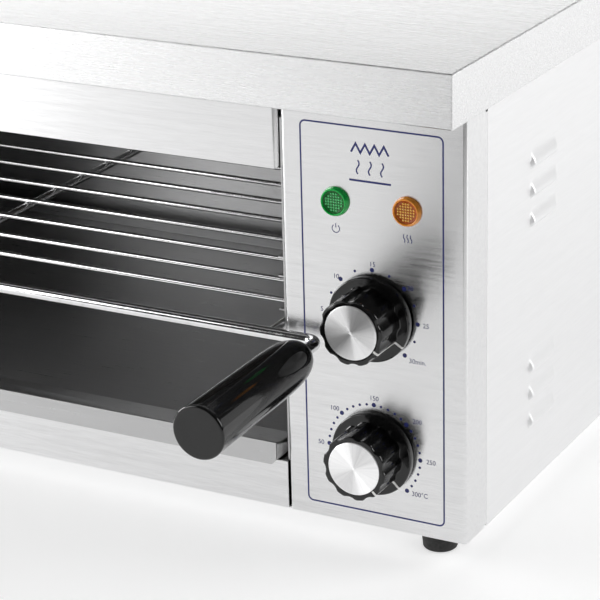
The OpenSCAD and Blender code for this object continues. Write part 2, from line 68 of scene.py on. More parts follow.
WORLD_LIGHT = 0.03
FLOOR_REACH = 6
FLOOR_TONE = 0.82
FLOOR_ROUGHNESS = 0.6
FLOOR_GLOW = 0.5
CARD_TONE = 0.2
CARD_ROUGHNESS = 0.9

# name, place, point it faces, size, watts
SOFTBOXES = (
    ("left_front", (-1.6, -1.5, 1.2), (0, 0, 0.1), (1.4, 1.2), 15.5),
    ("left_wall", (-2.4, -0.4, 0.7), (0, 0, 0.1), (1.6, 1.0), 45),
    ("front_high", (0, -2.6, 1.1), (0, 0, 0.28), (7, 1.5), 18),
    ("overhead", (0.2, 0.2, 1.9), (0, 0, 0), (1.8, 1.4), 1),
    ("behind_low", (-0.8, 1.9, 0.5), (0, 0, 0.3), (2.4, 0.7), 19),
    ("behind_high", (0.6, 2.4, 1.5), (0.2, 0, 0.2), (1.6, 0.8), 3),
    ("behind_right", (1.4, 2.3, 0.55), (0.3, 0, 0.1), (1.8, 1.0), 4),
    ("right", (2.2, 0.9, 1.1), (0.2, 0, 0.1), (1.2, 1.2), 26),
    ("strip", (-0.78, -1.2, 0.35), (0.1, 0.2, 0.12), (0.16, 0.6), 1.05),
)
# EXCLUDE: the light reaches everything but this node. INCLUDE: it reaches this node alone.
LIGHT_LINKS = {"left_wall": ("left_side_panel", "EXCLUDE"), "front_high": ("top_cover", "INCLUDE")}


def look_from(azimuth, elevation):
    a, e = math.radians(azimuth), math.radians(elevation)
    return Vector((math.sin(a) * math.cos(e), -math.cos(a) * math.cos(e), math.sin(e)))


def add_camera():
    """The camera stands at a measured place from the casing's lower right front corner."""
    data = bpy.data.cameras.new("camera")
    data.lens = LENS
    data.sensor_width = SENSOR
    camera = bpy.data.objects.new("camera", data)
    bpy.context.scene.collection.objects.link(camera)
    corner = Vector((PANEL_HIGH.x, PANEL_LOW.y, PANEL_LOW.z))
    facing = -look_from(VIEW_AZIMUTH, VIEW_ELEVATION)
    turn = facing.to_track_quat("-Z", "Y").to_matrix().to_4x4()
    roll = Matrix.Rotation(math.radians(VIEW_ROLL), 4, "Z")
    camera.matrix_world = Matrix.Translation(corner + CAMERA_FROM_CORNER) @ turn @ roll
    bpy.context.scene.camera = camera


def add_softbox(name, place, aim, size, power):
    """A rectangular area light that faces a point."""
    data = bpy.data.lights.new(name, "AREA")
    data.shape = "RECTANGLE"
    data.size, data.size_y = size
    data.energy = power
    light = bpy.data.objects.new(name, data)
    bpy.context.scene.collection.objects.link(light)
    light.location = place
    light.visible_camera = False
    light.rotation_mode = "QUATERNION"
    light.rotation_quaternion = (Vector(aim) - Vector(place)).to_track_quat("-Z", "Y")
    return light


def link_light(light, node, state):
    """Keeps a light off one node, or on one node alone."""
    group = bpy.data.collections.new(light.name + "_links")
    group.objects.link(NODES[node])
    group.collection_objects[0].light_linking.link_state = state
    light.light_linking.receiver_collection = group


def stage_plane(name, place, size, tone, roughness, glow=0):
    """A level rectangle of the studio, which isn't part of the object."""
    mesh = bpy.data.meshes.new(name)
    x, y = size[0] / 2, size[1] / 2
    mesh.from_pydata([(-x, -y, 0), (x, -y, 0), (x, y, 0), (-x, y, 0)], [], [(0, 1, 2, 3)])
    plane = bpy.data.objects.new(name, mesh)
    bpy.context.scene.collection.objects.link(plane)
    plane.location = place
    material = bpy.data.materials.new(name + "_paint")
    material.use_nodes = True
    shader = material.node_tree.nodes["Principled BSDF"]
    shader.inputs["Base Color"].default_value = (tone, tone, tone, 1)
    shader.inputs["Roughness"].default_value = roughness
    shader.inputs["Emission Color"].default_value = (1, 1, 1, 1)
    shader.inputs["Emission Strength"].default_value = glow
    mesh.materials.append(material)
    return plane


def add_studio():
    """Pale floor, faint world and soft lights; a grey card that only shows in reflections."""
    scene = bpy.context.scene
    scene.view_settings.view_transform = "Standard"
    world = bpy.data.worlds.new("studio")
    world.use_nodes = True
    background = world.node_tree.nodes["Background"]
    background.inputs["Color"].default_value = (1, 1, 1, 1)
    background.inputs["Strength"].default_value = WORLD_LIGHT
    scene.world = world
    stage_plane("floor", (0, 0, 0), (2 * FLOOR_REACH, 2 * FLOOR_REACH), FLOOR_TONE,
                FLOOR_ROUGHNESS, FLOOR_GLOW)
    card = stage_plane("flag", (0.21, -0.95, 0.01), (0.44, 0.6), CARD_TONE, CARD_ROUGHNESS)
    card.visible_camera = card.visible_diffuse = card.visible_shadow = False
    for name, place, aim, size, power in SOFTBOXES:
        light = add_softbox(name, place, aim, size, power)
        if name in LIGHT_LINKS:
            link_light(light, *LIGHT_LINKS[name])


# ---------------------------------------------------------------- materials
class Paint:
    """A Principled material and the few node calls that the recipes below share."""

    def __init__(self, name, colour, **sockets):
        self.material = bpy.data.materials.new(name)
        self.material.use_nodes = True
        self.tree = self.material.node_tree
        self.shader = self.tree.nodes["Principled BSDF"]
        self.shader.inputs["Base Color"].default_value = (*colour, 1)
        for socket, value in sockets.items():
            self.shader.inputs[socket.replace("_", " ")].default_value = value

    def node(self, kind, **values):
        made = self.tree.nodes.new(kind)
        for key, value in values.items():
            if key in made.inputs:
                made.inputs[key].default_value = value
            else:
                setattr(made, key, value)
        return made

    def link(self, source, target):
        self.tree.links.new(source, target)

    def noise(self, scale, detail=3.0, roughness=0.55):
        """Noise in the part's own coordinates, with a scale per axis in cycles per metre."""
        place = self.node("ShaderNodeTexCoord")
        mapping = self.node("ShaderNodeMapping", Scale=scale)
        noise = self.node("ShaderNodeTexNoise", Scale=1.0, Detail=detail, Roughness=roughness)
        self.link(place.outputs["Object"], mapping.inputs["Vector"])
        self.link(mapping.outputs["Vector"], noise.inputs["Vector"])
        return noise.outputs["Fac"]

    def spread(self, value, low, high, start=0.3, end=0.7):
        """Maps a noise value to a range of numbers."""
        scale = self.node("ShaderNodeMapRange")
        for socket, number in (("From Min", start), ("From Max", end), ("To Min", low),
                               ("To Max", high)):
            scale.inputs[socket].default_value = number
        self.link(value, scale.inputs["Value"])
        return scale.outputs["Result"]

    def mix(self, value, dark, light):
        """Mixes two colours by a value from 0 to 1."""
        mix = self.node("ShaderNodeMix", data_type="RGBA")
        self.link(value, mix.inputs["Factor"])
        for socket, colour in (("A", dark), ("B", light)):
            for slot in mix.inputs:
                if slot.name == socket and slot.type == "RGBA":
                    slot.default_value = (*colour, 1)
        return next(o for o in mix.outputs if o.type == "RGBA")

    def vary_colour(self, value, dark, light):
        self.link(self.mix(value, dark, light), self.shader.inputs["Base Color"])

    def vary_roughness(self, value, low, high):
        self.link(self.spread(value, low, high), self.shader.inputs["Roughness"])

    def bump(self, value, strength, distance):
        bump = self.node("ShaderNodeBump", Strength=strength, Distance=distance)
        self.link(value, bump.inputs["Height"])
        self.link(bump.outputs["Normal"], self.shader.inputs["Normal"])

    def tangent(self, direction):
        """Direction in which the reflections are smeared, across the grain."""
        vector = self.node("ShaderNodeCombineXYZ", X=direction[0], Y=direction[1], Z=direction[2])
        self.link(vector.outputs["Vector"], self.shader.inputs["Tangent"])


ACROSS_FRONT = (0, 0, 1)
ACROSS_TOP = (0, 1, 0)


def grey(level):
    """A faintly cool neutral tone."""
    return (level, level, level * 1.005)


def grain_scale(axis, along, across):
    """Noise scales of straight scratches that run along an axis."""
    return tuple(along if i == axis else across for i in range(3))


def brushed_steel(name, level, roughness, axis, smear, aniso=0.8, grain=0.5):
    """Steel with fine straight scratches along an axis; smear is the direction across them."""
    paint = Paint(name, grey(level), Metallic=1.0, Roughness=roughness, Anisotropic=aniso)
    fine = paint.noise(grain_scale(axis, 70, 1500), 3)
    broad = paint.noise(grain_scale(axis, 12, 420), 3)
    both = paint.node("ShaderNodeMix", data_type="FLOAT", Factor=0.4)
    paint.link(fine, both.inputs["A"])
    paint.link(broad, both.inputs["B"])
    lines = both.outputs["Result"]
    paint.vary_colour(paint.spread(lines, 0, 1), grey(level * (1 - 0.16 * grain)),
                      grey(min(1, level * (1 + 0.1 * grain))))
    paint.vary_roughness(lines, roughness * (1 - 0.25 * grain), roughness * (1 + 0.3 * grain))
    paint.bump(fine, 0.1 * grain, 0.00002)
    paint.tangent(smear)
    return paint.material


def chrome(name):
    """Polished plating with a faint cloud."""
    paint = Paint(name, grey(0.82), Metallic=1.0, Roughness=0.08)
    cloud = paint.noise((120, 120, 120), 2)
    paint.vary_colour(paint.spread(cloud, 0, 1), grey(0.74), grey(0.86))
    paint.vary_roughness(cloud, 0.06, 0.14)
    paint.bump(paint.noise((900, 900, 900), 2), 0.03, 0.00005)
    return paint.material


def black_plastic(name, roughness, level=0.008):
    """Glossy black thermoset with a slightly uneven surface."""
    paint = Paint(name, grey(level), Roughness=roughness)
    cloud = paint.noise((260, 260, 260), 4)
    paint.vary_colour(paint.spread(cloud, 0, 1), grey(level * 0.75), grey(level * 1.4))
    paint.vary_roughness(cloud, roughness * 0.85, roughness * 1.2)
    paint.bump(paint.noise((2400, 2400, 2400), 2), 0.03, 0.00004)
    return paint.material


def rubber(name):
    """Matt black rubber, grainy and slightly dusty."""
    paint = Paint(name, (0.02, 0.02, 0.02), Roughness=0.75)
    cloud = paint.noise((600, 600, 600), 4)
    paint.vary_colour(paint.spread(cloud, 0, 1), (0.014, 0.014, 0.014), (0.035, 0.034, 0.033))
    paint.bump(paint.noise((3000, 3000, 3000), 2), 0.25, 0.0001)
    return paint.material


def moulded(name, colour, roughness):
    """Matt moulded plastic or ceramic with a slight mottle."""
    paint = Paint(name, colour, Roughness=roughness)
    cloud = paint.noise((350, 350, 350), 4)
    paint.vary_colour(paint.spread(cloud, 0, 1), tuple(c * 0.82 for c in colour),
                      tuple(min(1, c * 1.1) for c in colour))
    paint.bump(paint.noise((2500, 2500, 2500), 2), 0.12, 0.00006)
    return paint.material


def plated(name, colour, roughness=0.32):
    """Zinc, copper or nickel plating with a cloudy tone."""
    paint = Paint(name, colour, Metallic=1.0, Roughness=roughness)
    cloud = paint.noise((180, 180, 180), 4)
    paint.vary_colour(paint.spread(cloud, 0, 1), tuple(c * 0.8 for c in colour),
                      tuple(min(1, c * 1.1) for c in colour))
    paint.vary_roughness(cloud, roughness - 0.08, roughness + 0.1)
    paint.bump(paint.noise((1500, 1500, 1500), 3), 0.08, 0.00005)
    return paint.material


def element_sheath(name):
    """Heating tube: steel oxidised to brown and blue-grey in patches."""
    paint = Paint(name, (0.10, 0.085, 0.075), Metallic=0.7, Roughness=0.5)
    patches = paint.noise((30, 90, 90), 4)
    paint.vary_colour(paint.spread(patches, 0, 1), (0.055, 0.048, 0.05), (0.17, 0.125, 0.09))
    paint.bump(paint.noise((1200, 1200, 1200), 3), 0.2, 0.0001)
    return paint.material


def lens(name, colour, roughness=0.2):
    """Dyed clear plastic, slightly cloudy."""
    paint = Paint(name, colour, Roughness=roughness, IOR=1.45)
    cloud = paint.noise((500, 500, 500), 3)
    paint.vary_colour(paint.spread(cloud, 0, 1), tuple(c * 0.85 for c in colour),
                      tuple(min(1, c * 1.15) for c in colour))
    paint.vary_roughness(cloud, roughness * 0.8, roughness * 1.3)
    return paint.material


def spun_aluminium(name, level=0.9):
    """Lathe-turned disc: rings, faint spokes of painted reflection, smeared along the radius; painted
    glow.
    """
    # Its faint white emission is a painted glow; the disc is no lamp.
    paint = Paint(name, grey(level), Metallic=1.0, Roughness=0.34, Anisotropic=0.95,
                  Emission_Color=(1, 1, 1, 1), Emission_Strength=0.12)
    spun = paint.node("ShaderNodeUVMap", uv_map="spun")
    tones = []
    # The first noise runs along the radius and makes fine rings of grain; the second runs round the
    # disc and makes spokes, a painted reflection of the spun wedges.
    for stretch in ((95.0, 0.0, 1.0), (0.0, 26.0, 1.0)):
        mapping = paint.node("ShaderNodeMapping", Scale=stretch)
        tone = paint.node("ShaderNodeTexNoise", Scale=1.0, Detail=3.0)
        paint.link(spun.outputs["UV"], mapping.inputs["Vector"])
        paint.link(mapping.outputs["Vector"], tone.inputs["Vector"])
        tones.append(tone.outputs["Fac"])
    both = paint.node("ShaderNodeMix", data_type="FLOAT", Factor=0.6)
    paint.link(tones[0], both.inputs["A"])
    paint.link(tones[1], both.inputs["B"])
    paint.vary_colour(paint.spread(both.outputs["Result"], 0, 1), grey(level * 0.78), grey(1.0))
    paint.vary_roughness(tones[0], 0.3, 0.38)
    spin = paint.node("ShaderNodeTangent", direction_type="UV_MAP", uv_map="spun")
    paint.link(spin.outputs["Tangent"], paint.shader.inputs["Tangent"])
    return paint.material


def ink(name, colour):
    """Screen-printed ink, a little uneven."""
    paint = Paint(name, colour, Roughness=0.45)
    cloud = paint.noise((900, 900, 900), 3)
    paint.vary_colour(paint.spread(cloud, 0, 1), tuple(c * 0.75 for c in colour),
                      tuple(c * 1.3 for c in colour))
    return paint.material


MATERIALS = {
    "front": brushed_steel("steel_front", 0.80, 0.21, 0, ACROSS_FRONT, 0.85, 0.75),
    "top": brushed_steel("steel_cap", 0.81, 0.27, 0, ACROSS_TOP, 0.8, 0.25),
    "side": brushed_steel("steel_side", 0.86, 0.42, 1, ACROSS_FRONT, 0.5, 0.2),
    "rear": brushed_steel("steel_rear", 0.70, 0.38, 0, ACROSS_FRONT, 0.5),
    "cavity": brushed_steel("steel_cavity", 0.55, 0.3, 0, ACROSS_FRONT, 0.8, 0.5),
    "floor_plate": brushed_steel("steel_floor", 0.42, 0.34, 0, ACROSS_TOP, 0.6, 0.5),
    "tray": brushed_steel("steel_tray", 0.42, 0.3, 0, ACROSS_TOP, 0.6, 0.5),
    # The lip's steel is a copy of the tray's at a level of its own, which paints the light and shade
    # on the lip.
    "lip": brushed_steel("steel_lip_painted_light_shade", 0.54, 0.25, 0, ACROSS_FRONT, 0.8, 0.5),
    "guide": brushed_steel("steel_guide", 0.62, 0.36, 1, ACROSS_FRONT, 0.5, 0.5),
    "chrome": chrome("chrome_rod"),
    "handle": black_plastic("handle_black", 0.08),
    "knob": black_plastic("knob_black", 0.11, 0.006),
    "rubber": rubber("rubber_black"),
    "zinc": plated("zinc_plate", (0.66, 0.66, 0.63)),
    "brass": plated("nut_brass", (0.72, 0.56, 0.30)),
    "copper": plated("copper_bare", (0.75, 0.42, 0.27)),
    "can": plated("control_can", (0.58, 0.58, 0.56), 0.4),
    "element": element_sheath("element_oxide"),
    "ceramic": moulded("ceramic", (0.80, 0.77, 0.68), 0.6),
    "nylon": moulded("nylon_black", (0.03, 0.03, 0.032), 0.5),
    "white": moulded("pointer_white", (0.86, 0.86, 0.84), 0.4),
    # Each lens's face copy is darker, painted shade, and its prism copy lighter, painted glints.
    "green": lens("lens_green", (0.007, 0.5, 0.08)),
    "green_face": lens("lens_green_face", (0.002, 0.15, 0.02)),
    "green_prism": lens("lens_green_prism", (0.14, 0.7, 0.26)),
    "amber": lens("lens_amber", (0.93, 0.33, 0.04)),
    "amber_face": lens("lens_amber_face", (0.42, 0.09, 0.008)),
    "amber_prism": lens("lens_amber_prism", (0.95, 0.55, 0.12)),
    "disc": spun_aluminium("disc_spun"),
    "end_plate": moulded("end_plate_satin", (0.75, 0.75, 0.75), 0.4),
    "ink": ink("ink_navy", (0.012, 0.02, 0.16)),
}

NODE_MATERIALS = {
    "front": ["hood_front", "front_rail", "control_panel"],
    "top": ["top_cover"],
    "side": ["right_side_cover", "left_side_panel"],
    "rear": ["rear_panel", "base_pan"],
    "cavity": ["cavity_left_wall", "cavity_right_wall", "cavity_back_wall"],
    "floor_plate": ["cavity_floor", "roof_plate"],
    "tray": ["crumb_tray"],
    "guide": ["rack_guide_left", "rack_guide_right", "element_bracket_left",
              "element_bracket_right"],
    "chrome": ["rack_front_rod", "rack_side_rod_left", "rack_side_rod_right", "rack_rear_rod",
               "rack_centre_bar", "rack_wires"],
    "handle": ["handle_left", "handle_right"],
    "knob": ["timer_knob", "thermostat_knob"],
    "rubber": ["foot_front_left", "foot_front_right", "foot_rear_left", "foot_rear_right"],
    "zinc": ["control_screws", "foot_screws", "casing_screws", "timer_shaft", "thermostat_shaft"],
    "brass": ["element_nuts"],
    "copper": ["thermostat_bulb"],
    "can": ["timer_body"],
    "element": ["element_front", "element_middle", "element_rear"],
    "ceramic": ["thermostat_body", "terminal_block"],
    "nylon": ["cable_gland", "gland_nut", "power_lamp_body", "heat_lamp_body"],
    "white": ["timer_pointer", "thermostat_pointer"],
    "green": ["power_lamp_lens"],
    "amber": ["heat_lamp_lens"],
    "disc": ["timer_knob_disc", "thermostat_knob_disc"],
}


# radius in mm of the rounding along the folds and edges of the sheets, by material
EDGE_ROUND = {"top": 0.8, "front": 0.45, "side": 0.5, "tray": 0.4, "guide": 0.2}
EDGE_ANGLE = 40
EDGE_SEGMENTS = 3
WELD_REACH = 0.01 * MM


def dress_nodes():
    """Gives every CAD node its material, and its folded edges a small bright round."""
    for key, names in NODE_MATERIALS.items():
        for name in names:
            node = NODES[name]
            node.data.materials.clear()
            node.data.materials.append(MATERIALS[key])
            if key in EDGE_ROUND:
                weld = node.modifiers.new("weld", "WELD")
                weld.merge_threshold = WELD_REACH
                bevel = node.modifiers.new("edge_round", "BEVEL")
                bevel.width = EDGE_ROUND[key] * MM
                bevel.segments = EDGE_SEGMENTS
                bevel.limit_method = "ANGLE"
                bevel.angle_limit = math.radians(EDGE_ANGLE)


# ---------------------------------------------------------------- mesh building
def mesh_piece(name, verts, faces, material, body, slot, place=None, sharp=32):
    """Makes a piece from points and faces, smooth except at edges sharper than the given angle."""
    mesh = bpy.data.meshes.new(name)
    mesh.from_pydata([tuple(v) for v in verts], [], faces)
    mesh.validate()
    shape = bmesh.new()
    shape.from_mesh(mesh)
    bmesh.ops.recalc_face_normals(shape, faces=shape.faces)
    shape.to_mesh(mesh)
    shape.free()
    mesh.shade_smooth()
    mesh.set_sharp_from_angle(angle=math.radians(sharp))
    mesh.materials.append(material)
    piece = bpy.data.objects.new(name, mesh)
    bpy.context.scene.collection.objects.link(piece)
    if place is not None:
        piece.matrix_world = place
    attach(piece, body)
    return piece


def join(parts):
    """Joins lists of (points, faces) into one."""
    verts, faces = [], []
    for part_verts, part_faces in parts:
        base = len(verts)
        verts += part_verts
        faces += [tuple(base + i for i in face) for face in part_faces]
    return verts, faces


def moved(part, matrix):
    """A (points, faces) pair with its points transformed."""
    verts, faces = part
    return [matrix @ Vector(v) for v in verts], faces


def loft(rings, cap_start=True, cap_end=True):
    """Skins closed rings that all have the same number of points."""
    count = len(rings[0])
    verts = [point for ring in rings for point in ring]
    faces = []
    for level in range(len(rings) - 1):
        low, high = level * count, (level + 1) * count
        for i in range(count):
            j = (i + 1) % count
            faces.append((low + i, low + j, high + j, high + i))
    if cap_start:
        faces.append(tuple(reversed(range(count))))
    if cap_end:
        faces.append(tuple(range(len(verts) - count, len(verts))))
    return verts, faces


def lathe(profile, segments=72):
    """Turns a profile of (radius, height) round Z; a radius of 0 becomes a small flat cap."""
    rings = []
    for radius, height in profile:
        radius = max(radius, 0.02 * MM)
        rings.append([Vector((radius * math.cos(a), radius * math.sin(a), height))
                      for a in (2 * math.pi * i / segments for i in range(segments))])
    return loft(rings)


def arc(centre, radius, start, end, steps):
    """Points of a profile on an arc; angles in degrees from the outward direction."""
    points = []
    for i in range(steps + 1):
        a = math.radians(start + (end - start) * i / steps)
        points.append((centre[0] + radius * math.cos(a), centre[1] + radius * math.sin(a)))
    return points


def out_of_panel(x, y, z, turn=0):
    """Local Z leaves the control panel, and local X points up, turned clockwise by an angle."""
    return (Matrix.Translation((x, y, z)) @ Matrix.Rotation(math.radians(turn - 90), 4, "Y")
            @ Matrix.Rotation(math.radians(90), 4, "X"))


# ---------------------------------------------------------------- knobs
FLUTES = 10
FLUTE_R = 6.5 * MM
FLUTE_DEPTH = 1.2 * MM
GRIP_R = 18.4 * MM
SKIRT_R = 23.5 * MM
SKIRT_T = 4.2 * MM
DISC_R = 15 * MM
POINTER_W = 1.3 * MM
POINTER_LIFT = 0.06 * MM
KNOB_SEGMENTS = 360


def fluted_radius(angle):
    """Outline of the grip: a circle with scallops, the corners between them softened."""
    step = 2 * math.pi / FLUTES
    off = (angle % step) - step / 2
    centre = GRIP_R + FLUTE_R - FLUTE_DEPTH
    reach = FLUTE_R ** 2 - (centre * math.sin(off)) ** 2
    scallop = centre * math.cos(off) - math.sqrt(reach) if reach > 0 else 2 * GRIP_R
    soft = 0.16 * MM
    low = min(scallop, GRIP_R)
    return low - soft * math.log(1 + math.exp(-abs(scallop - GRIP_R) / soft))


def knob_profile(height):
    """Rings of the knob from its underside to its face: (height, radius, follows the flutes)."""
    return [
        (3.2 * MM, 3.2 * MM, 0), (3.2 * MM, 20.3 * MM, 0), (0.2 * MM, 20.5 * MM, 0),
        (0, 20.8 * MM, 0), (0, SKIRT_R - 0.3 * MM, 0), (0.08 * MM, SKIRT_R - 0.1 * MM, 0),
        (0.3 * MM, SKIRT_R, 0), (SKIRT_T - 0.62 * MM, SKIRT_R, 0),
        (SKIRT_T - 0.54 * MM, SKIRT_R - 0.04 * MM, 0), (SKIRT_T - 0.06 * MM, SKIRT_R - 0.52 * MM, 0),
        (SKIRT_T, SKIRT_R - 0.62 * MM, 0), (SKIRT_T, SKIRT_R - 1.2 * MM, 0),
        (SKIRT_T, 0.9 * MM, 1), (SKIRT_T + 0.1 * MM, 0.5 * MM, 1),
        (SKIRT_T + 0.35 * MM, 0.22 * MM, 1), (SKIRT_T + 0.8 * MM, 0.1 * MM, 1),
        (0.5 * height, 0.05 * MM, 1), (height - 1.1 * MM, 0, 1), (height - 0.7 * MM, -0.04 * MM, 1),
        (height - 0.3 * MM, -0.24 * MM, 1), (height - 0.08 * MM, -0.55 * MM, 1),
        (height, -0.95 * MM, 1), (height, DISC_R + 0.35 * MM, 0),
        (height - 0.05 * MM, DISC_R + 0.15 * MM, 0), (height - 0.4 * MM, DISC_R + 0.1 * MM, 0),
        (height - 0.4 * MM, 2 * MM, 0)]


def build_knob(name):
    """Fluted knob with a skirt, a spun disc in its face and a white line over its pointer lobe."""
    low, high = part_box(name + "_knob")
    axis = JOINTS[name + "_turn"]["pos_m"]
    pointer_low, pointer_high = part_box(name + "_pointer")
    middle = (pointer_low + pointer_high) / 2
    turn = math.degrees(math.atan2(middle.x - axis[0], middle.z - axis[2]))
    place = out_of_panel(axis[0], high.y, axis[2], turn)
    height = high.y - low.y
    body = name + "_dial"
    profile = knob_profile(height)
    rings = []
    for level, radius, fluted in profile:
        ring = []
        for i in range(KNOB_SEGMENTS):
            a = 2 * math.pi * i / KNOB_SEGMENTS
            r = radius + fluted * fluted_radius(a)
            ring.append(Vector((r * math.cos(a), r * math.sin(a), level)))
        rings.append(ring)
    verts, faces = loft(rings)
    knob = mesh_piece(name + "_knob_moulding", verts, faces, MATERIALS["knob"], body, "knob_black",
                      place, 26)
    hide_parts(name + "_knob")
    pointer_line(name, profile, body, place)
    disc_piece(name, height, body, place)


def pointer_line(name, profile, body, place):
    """White inlay that follows the knob's profile from the face over the grip to the skirt's edge."""
    path = []
    for level, radius, fluted in reversed(profile[7:23]):
        path.append((radius + fluted * fluted_radius(0), level))
    path[0] = (DISC_R + 0.4 * MM, path[0][1])
    outer, inner = [], []
    for i, (radius, level) in enumerate(path):
        before, after = path[max(i - 1, 0)], path[min(i + 1, len(path) - 1)]
        tangent = Vector((after[0] - before[0], after[1] - before[1])).normalized()
        normal = Vector((-tangent.y, tangent.x))
        if i == 0:
            normal = Vector((0, 1))
        elif normal.x + normal.y < 0:
            normal = -normal
        outer.append((radius + POINTER_LIFT * normal.x, level + POINTER_LIFT * normal.y))
        inner.append((radius - 6 * POINTER_LIFT * normal.x, level - 6 * POINTER_LIFT * normal.y))
    half = POINTER_W / 2
    rings = []
    for (outer_r, outer_z), (inner_r, inner_z) in zip(outer, inner):
        rings.append([Vector((outer_r, -half, outer_z)), Vector((outer_r, half, outer_z)),
                      Vector((inner_r, half, inner_z)), Vector((inner_r, -half, inner_z))])
    verts, faces = loft(rings)
    line = mesh_piece(name + "_pointer_line", verts, faces, MATERIALS["white"], body,
                      "pointer_white", place, 40)
    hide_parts(name + "_pointer")


def disc_piece(name, height, body, place):
    """Spun metal disc; its map runs along the radius, which the spun finish needs."""
    rise = 0.2 * MM
    edge = 0.3 * MM
    side = DISC_R - 0.05 * MM
    profile = [(side, height - 0.38 * MM), (side, height + rise - edge)]
    profile += arc((side - edge, height + rise - edge), edge, 0, 90, 5)
    profile += [(share * DISC_R, height + rise) for share in (0.9, 0.7, 0.5, 0.3, 0.15, 0.06)]
    verts, faces = lathe(profile, 144)
    disc = mesh_piece(name + "_disc_spun", verts, faces, MATERIALS["disc"], body, "spun_disc", place)
    spun = disc.data.uv_layers.new(name="spun")
    for polygon in disc.data.polygons:
        angles = []
        for corner in polygon.loop_indices:
            point = disc.data.vertices[disc.data.loops[corner].vertex_index].co
            angles.append(math.atan2(point.y, point.x) / (2 * math.pi))
        wraps = max(angles) - min(angles) > 0.5
        for corner, angle in zip(polygon.loop_indices, angles):
            point = disc.data.vertices[disc.data.loops[corner].vertex_index].co
            radius = math.hypot(point.x, point.y) / DISC_R
            spun.data[corner].uv = (radius, angle + (1 if wraps and angle < 0 else 0))
    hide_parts(name + "_knob_disc")


# ---------------------------------------------------------------- pilot lamps
PRISM_PITCH = 1.5 * MM
PRISM_SIDES = 12


def lens_prism(x, y, base):
    """One raised bump of the lens's face, which narrows in steps of (width share, level in mm)."""
    rings = []
    for share, level in ((0.62, -0.2), (0.62, 0.12), (0.5, 0.34), (0.2, 0.5)):
        radius = share * PRISM_PITCH / 2 * 1.25
        rings.append([Vector((x + radius * math.cos(a), y + radius * math.sin(a), base + level * MM))
                      for a in (2 * math.pi * i / PRISM_SIDES for i in range(PRISM_SIDES))])
    return loft(rings)


def build_lamp(node, wall_paint, shaded_face_paint, glint_dot_paint, slot):
    """Clipped-in lens: tapered wall with a lip, a face darkened as painted shade and a grid of small
    prisms lightened as painted glints.
    """
    low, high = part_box(node)
    place = out_of_panel((low.x + high.x) / 2, high.y, (low.z + high.z) / 2)
    radius = (high.x - low.x) / 2
    wall = [(radius - 2.2 * MM, 0.2 * MM), (radius - 0.1 * MM, 0), (radius, 0.2 * MM),
            (radius - 0.05 * MM, 0.9 * MM), (radius - 0.55 * MM, 2.3 * MM)]
    wall += arc((radius - 1.05 * MM, 2.35 * MM), 0.5 * MM, 10, 170, 10)
    wall += [(radius - 1.6 * MM, 1.7 * MM), (radius - 2.2 * MM, 1.65 * MM)]
    rim = mesh_piece(node + "_wall", *lathe(wall), wall_paint, "casing", slot, place, 40)
    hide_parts(node)
    face_r, face_z = radius - 1.65 * MM, 1.9 * MM
    face = [(face_r, 0.9 * MM), (face_r, face_z - 0.15 * MM), (face_r - 0.15 * MM, face_z)]
    face += [(face_r - 0.8 * MM, face_z), (face_r - 0.95 * MM, face_z - 0.12 * MM),
             (0.5 * face_r, face_z - 0.12 * MM), (0, face_z - 0.12 * MM)]
    # The face gets the darker copy of the lens colour, painted shade.
    mesh_piece(node + "_face", *lathe(face), shaded_face_paint, "casing", slot, place, 40)
    reach = face_r - 1.35 * MM
    places = [(column * PRISM_PITCH, row * PRISM_PITCH)
              for column in range(-4, 5) for row in range(-4, 5)]
    prisms = [lens_prism(x, y, face_z - 0.12 * MM) for x, y in places if math.hypot(x, y) <= reach]
    # The prisms get the lighter copy of the lens colour, painted glints.
    mesh_piece(node + "_prisms", *join(prisms), glint_dot_paint, "casing", slot, place, 50)


# ---------------------------------------------------------------- rack handles
ROD_R = 3.5 * MM
BEND_R = 6 * MM
HANDLE_R = 14.57 * MM
HANDLE_L = 109.95 * MM
HANDLE_GAP = 10.5 * MM
HANDLE_EDGE = 1.2 * MM
DROOP = 1.3
HANDLE_STEPS = 60
HANDLE_TAPER = 0.1
DOME_POWER = 12


def handle_profile():
    """From the domed end at the rod to the flat free end, as (radius, distance from the bend)."""
    end = HANDLE_GAP + HANDLE_L
    body = []
    for i in range(HANDLE_STEPS + 1):
        t = 1 - (i / HANDLE_STEPS) ** 1.7
        dome = math.sqrt(max(0, 1 - t ** DOME_POWER))
        radius = HANDLE_R * (1 - HANDLE_TAPER * t) * dome
        distance = end - t * HANDLE_L
        if radius > ROD_R + 0.1 * MM and distance < end - HANDLE_EDGE:
            body.append((radius, distance))
    hole, mouth = ROD_R + 0.06 * MM, body[0][1]
    start = [(hole, mouth + 4 * MM), (hole, mouth + 0.2 * MM)]
    edge = arc((HANDLE_R - HANDLE_EDGE, end - HANDLE_EDGE), HANDLE_EDGE, 0, 90, 8)
    crown = [(f * (HANDLE_R - HANDLE_EDGE), end - 0.1 * MM * (1 - f) ** 0.5 * (1 - f))
             for f in (0.95, 0.8, 0.6, 0.4, 0.2, 0.05)]
    return start + body + edge + crown


def build_handles():
    """Both grips, centred on the rod's ends and drooping like them."""
    rod_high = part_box("rack_front_rod")[1]
    for node in ("handle_left", "handle_right"):
        low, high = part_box(node)
        place = Matrix.Translation(((low.x + high.x) / 2, rod_high.y - ROD_R - BEND_R,
                                    rod_high.z - ROD_R))
        place = place @ Matrix.Rotation(math.radians(90 + DROOP), 4, "X")
        grip = mesh_piece(node + "_grip", *lathe(handle_profile(), 128), MATERIALS["handle"],
                          "rack", "black_gloss", place, 60)
        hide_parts(node)


# ---------------------------------------------------------------- printed scales
INK_T = 0.05 * MM
NUMERAL_H = 2.6 * MM
CAP_SHARE = 0.7
LARGE_DOT_R = 1.25 * MM
SMALL_DOT_R = 0.75 * MM
BORDER_W = 0.9 * MM
THIN_LINE = 0.45 * MM
WAVE_LINE = 0.8 * MM
BOLD_LINE = 1.1 * MM
SYMBOL_DROP = 15 * MM


